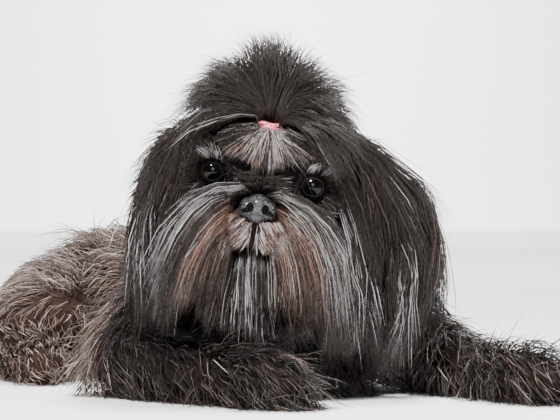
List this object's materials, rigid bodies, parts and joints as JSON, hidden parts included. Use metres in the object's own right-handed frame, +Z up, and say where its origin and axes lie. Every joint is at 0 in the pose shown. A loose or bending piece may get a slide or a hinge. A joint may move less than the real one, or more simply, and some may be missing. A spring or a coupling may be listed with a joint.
{
  "type": "shih tzu",
  "caption": "Still, life-size model of a small long-coated dog lying on its chest with its head raised, its topknot tied up in a hair elastic.",
  "frame": {"origin": "on the floor under the middle of the belly, on the belly's flat", "axes": "+Z up, -Y the way the dog's body faces, +X the dog's left side; the head is turned to its right"},
  "size_m": [0.2674, 0.5353, 0.2254],
  "materials": {
    "head_coat": "long glossy black coat, silver and red-brown on the moustache and brow",
    "ear_coat": "long glossy black hair with a cool sheen",
    "topknot_coat": "long glossy black hair with a cool sheen",
    "body_coat": "soft wavy brown-black coat",
    "leg_coat": "soft wavy brown-black coat, tipped silver on the paws",
    "tail_coat": "long brown-black plume",
    "eye": "wet dark brown eye with a black pupil",
    "nose": "moist pebbled black nose leather",
    "hair_elastic": "glossy pink-red elastic"
  },
  "bodies": {
    "root": {"head": "head_coat", "neck": "head_coat", "ear_left": "ear_coat", "ear_right": "ear_coat", "topknot": "topknot_coat", "hair_band": "hair_elastic", "eye_left": "eye", "eye_right": "eye", "nose": "nose", "torso": "body_coat", "foreleg_left": "leg_coat", "foreleg_right": "leg_coat", "hindleg_left": "leg_coat", "hindleg_right": "leg_coat", "tail": "tail_coat"}
  },
  "joints": []
}
